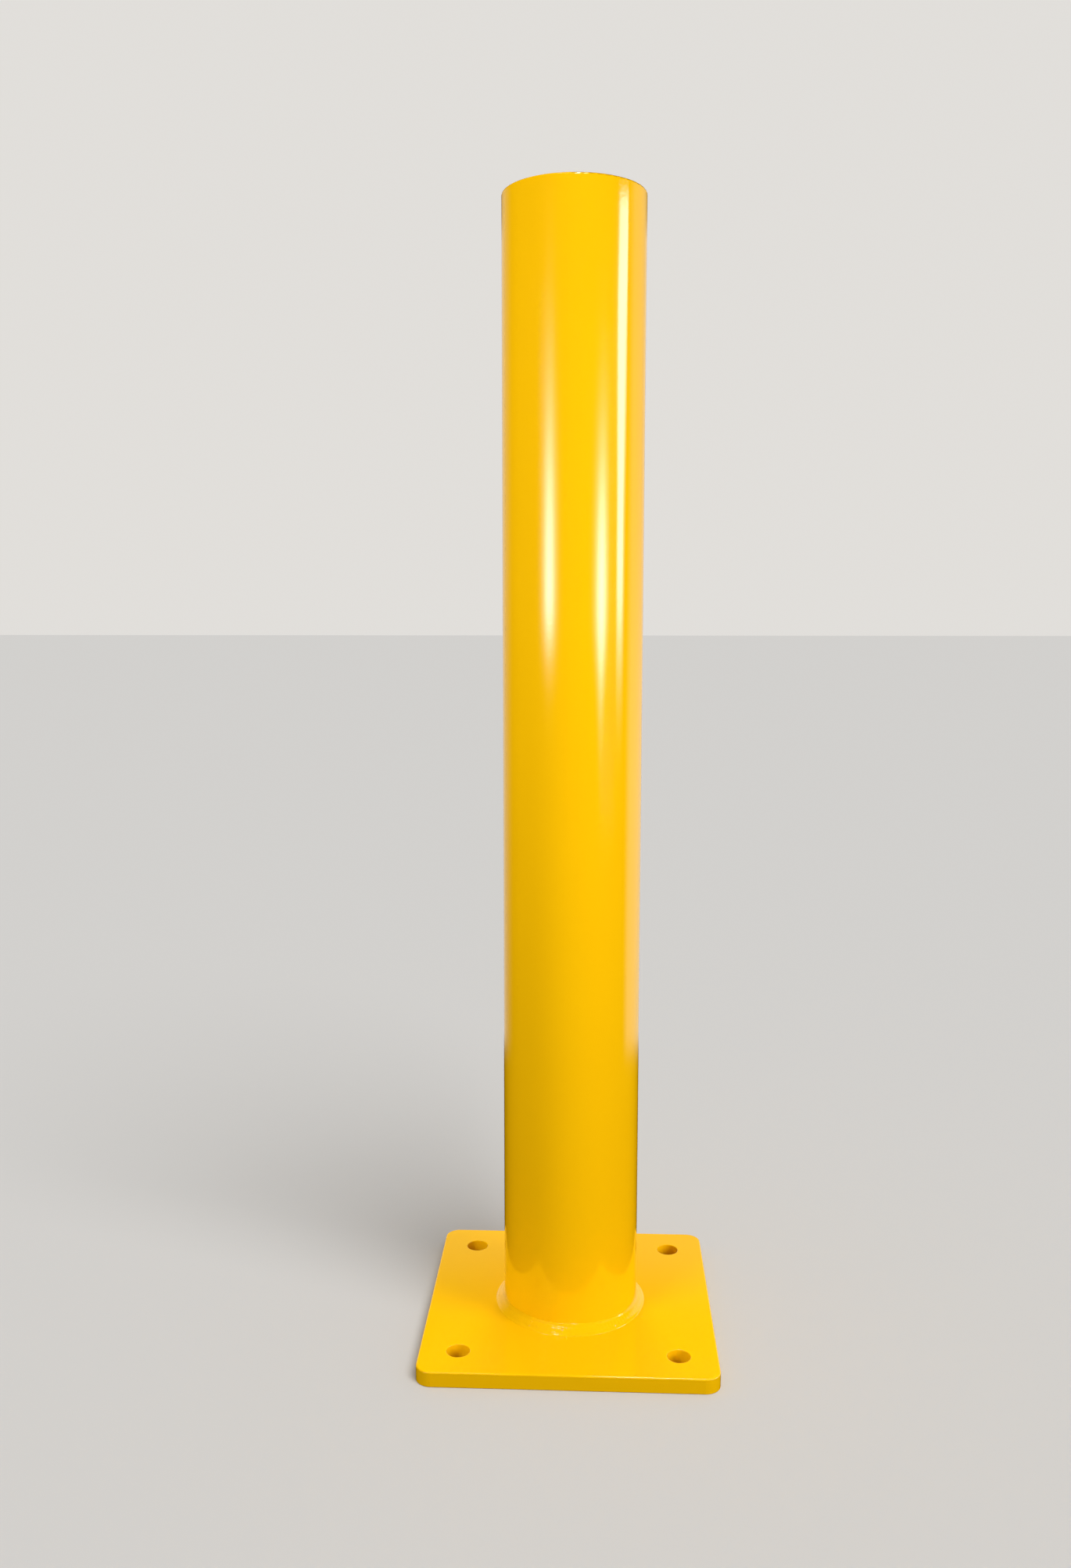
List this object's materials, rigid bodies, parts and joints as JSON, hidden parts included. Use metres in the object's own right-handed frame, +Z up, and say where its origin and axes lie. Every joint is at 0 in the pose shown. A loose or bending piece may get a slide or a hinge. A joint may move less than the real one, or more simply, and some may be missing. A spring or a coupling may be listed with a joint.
{
  "type": "safety bollard",
  "caption": "Surface-mounted steel safety bollard: a round pipe post with a welded flat cap, fillet-welded to a square base plate with corner anchor holes, in glossy yellow powder coat.",
  "frame": {"origin": "centre of the base plate's underside, on the floor under the post's axis", "axes": "+Z up the post's axis; X and Y along the base plate's sides, -Y towards the viewer"},
  "size_m": [0.2414, 0.2414, 0.9281],
  "materials": {
    "safety_yellow": "gloss safety-yellow powder coat with a fine orange peel"
  },
  "bodies": {
    "root": {"base_plate": "safety_yellow", "post_tube": "safety_yellow", "base_weld": "safety_yellow", "top_cap": "safety_yellow", "cap_weld": "safety_yellow"}
  },
  "joints": []
}
